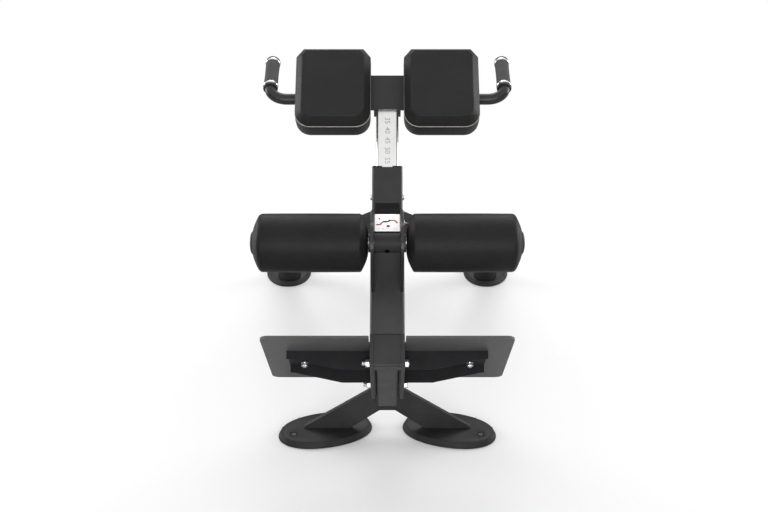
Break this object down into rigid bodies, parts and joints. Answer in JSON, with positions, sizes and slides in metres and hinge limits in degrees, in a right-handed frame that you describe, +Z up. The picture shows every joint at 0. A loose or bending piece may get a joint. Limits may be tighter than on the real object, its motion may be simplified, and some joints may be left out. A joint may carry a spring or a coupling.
{
  "type": "hyperextension bench",
  "caption": "Free-standing 45 degree hyperextension bench with sliding hip pads, handles, turning leg rollers, footplate and splayed legs.",
  "frame": {"origin": "centre of the bounding box on the floor plane", "axes": "+X across the bench to the user's right as seen from the foot end, +Y from the foot end to the head end, +Z up"},
  "size_m": [0.7742, 1.3706, 0.907],
  "materials": {
    "frame_paint": "satin black powder coat",
    "chrome": "polished",
    "leather": "fine-grain synthetic leather",
    "rubber": "matt",
    "plastic": "moulded",
    "board": "black backing cloth over plywood",
    "card": "printed card",
    "lock_red": "moulded"
  },
  "bodies": {
    "root": {"axle_sleeve": "frame_paint", "base_post": "frame_paint", "bracket_end_plate": "frame_paint", "bracket_plate_left": "frame_paint", "bracket_plate_right": "frame_paint", "footplate_channel_left": "frame_paint", "footplate_channel_right": "frame_paint", "footplate_left": "frame_paint", "footplate_right": "frame_paint", "footplate_screw_left": "chrome", "footplate_screw_right": "chrome", "front_foot_left": "frame_paint", "front_foot_pad_left": "rubber", "front_foot_pad_right": "rubber", "front_foot_right": "frame_paint", "front_leg_left": "frame_paint", "front_leg_right": "frame_paint", "main_beam": "frame_paint", "pin_housing": "chrome", "placard": "card", "rear_foot_left": "frame_paint", "rear_foot_pad_left": "rubber", "rear_foot_pad_right": "rubber", "rear_foot_right": "frame_paint", "rear_leg_plate": "frame_paint", "roller_axle": "chrome", "sleeve_screw_left": "chrome", "sleeve_screw_right": "chrome", "sleeve_tube": "frame_paint", "slide_liner": "plastic", "through_bolt_lower": "chrome", "through_bolt_upper": "chrome", "yoke_plate_left": "frame_paint", "yoke_plate_right": "frame_paint"},
    "carriage": {"crossbar": "frame_paint", "grip_cap_left": "rubber", "grip_cap_right": "rubber", "grip_left": "rubber", "grip_right": "rubber", "grip_sleeve_left": "chrome", "grip_sleeve_right": "chrome", "handle_left": "frame_paint", "handle_right": "frame_paint", "pad_board_left": "board", "pad_board_right": "board", "pad_bolt_left_lower": "chrome", "pad_bolt_left_upper": "chrome", "pad_bolt_right_lower": "chrome", "pad_bolt_right_upper": "chrome", "pad_cushion_left": "leather", "pad_cushion_right": "leather", "slide_tube": "chrome"},
    "left_roller": {"roller_cap_left": "plastic", "roller_core_left": "plastic", "roller_foam_left": "leather"},
    "right_roller": {"roller_cap_right": "plastic", "roller_core_right": "plastic", "roller_foam_right": "leather"},
    "lock_pin": {"pin_shaft": "chrome", "pin_knob": "lock_red"}
  },
  "joints": [
    {"name": "carriage_slide", "type": "slide", "parent": "root", "child": "carriage", "axis": [0, 0.7071, 0.7071], "range_m": [-0.12, 0.1]},
    {"name": "left_roller_spin", "type": "hinge", "parent": "root", "child": "left_roller", "pos_m": [-0.15, -0.62417, 0.60308], "axis": [1, 0, 0], "continuous": true},
    {"name": "right_roller_spin", "type": "hinge", "parent": "root", "child": "right_roller", "pos_m": [0.15, -0.62417, 0.60308], "axis": [1, 0, 0], "continuous": true},
    {"name": "lock_pin_pull", "type": "slide", "parent": "root", "child": "lock_pin", "axis": [1, 0, 0], "range_m": [-0.0035, 0.008]}
  ]
}
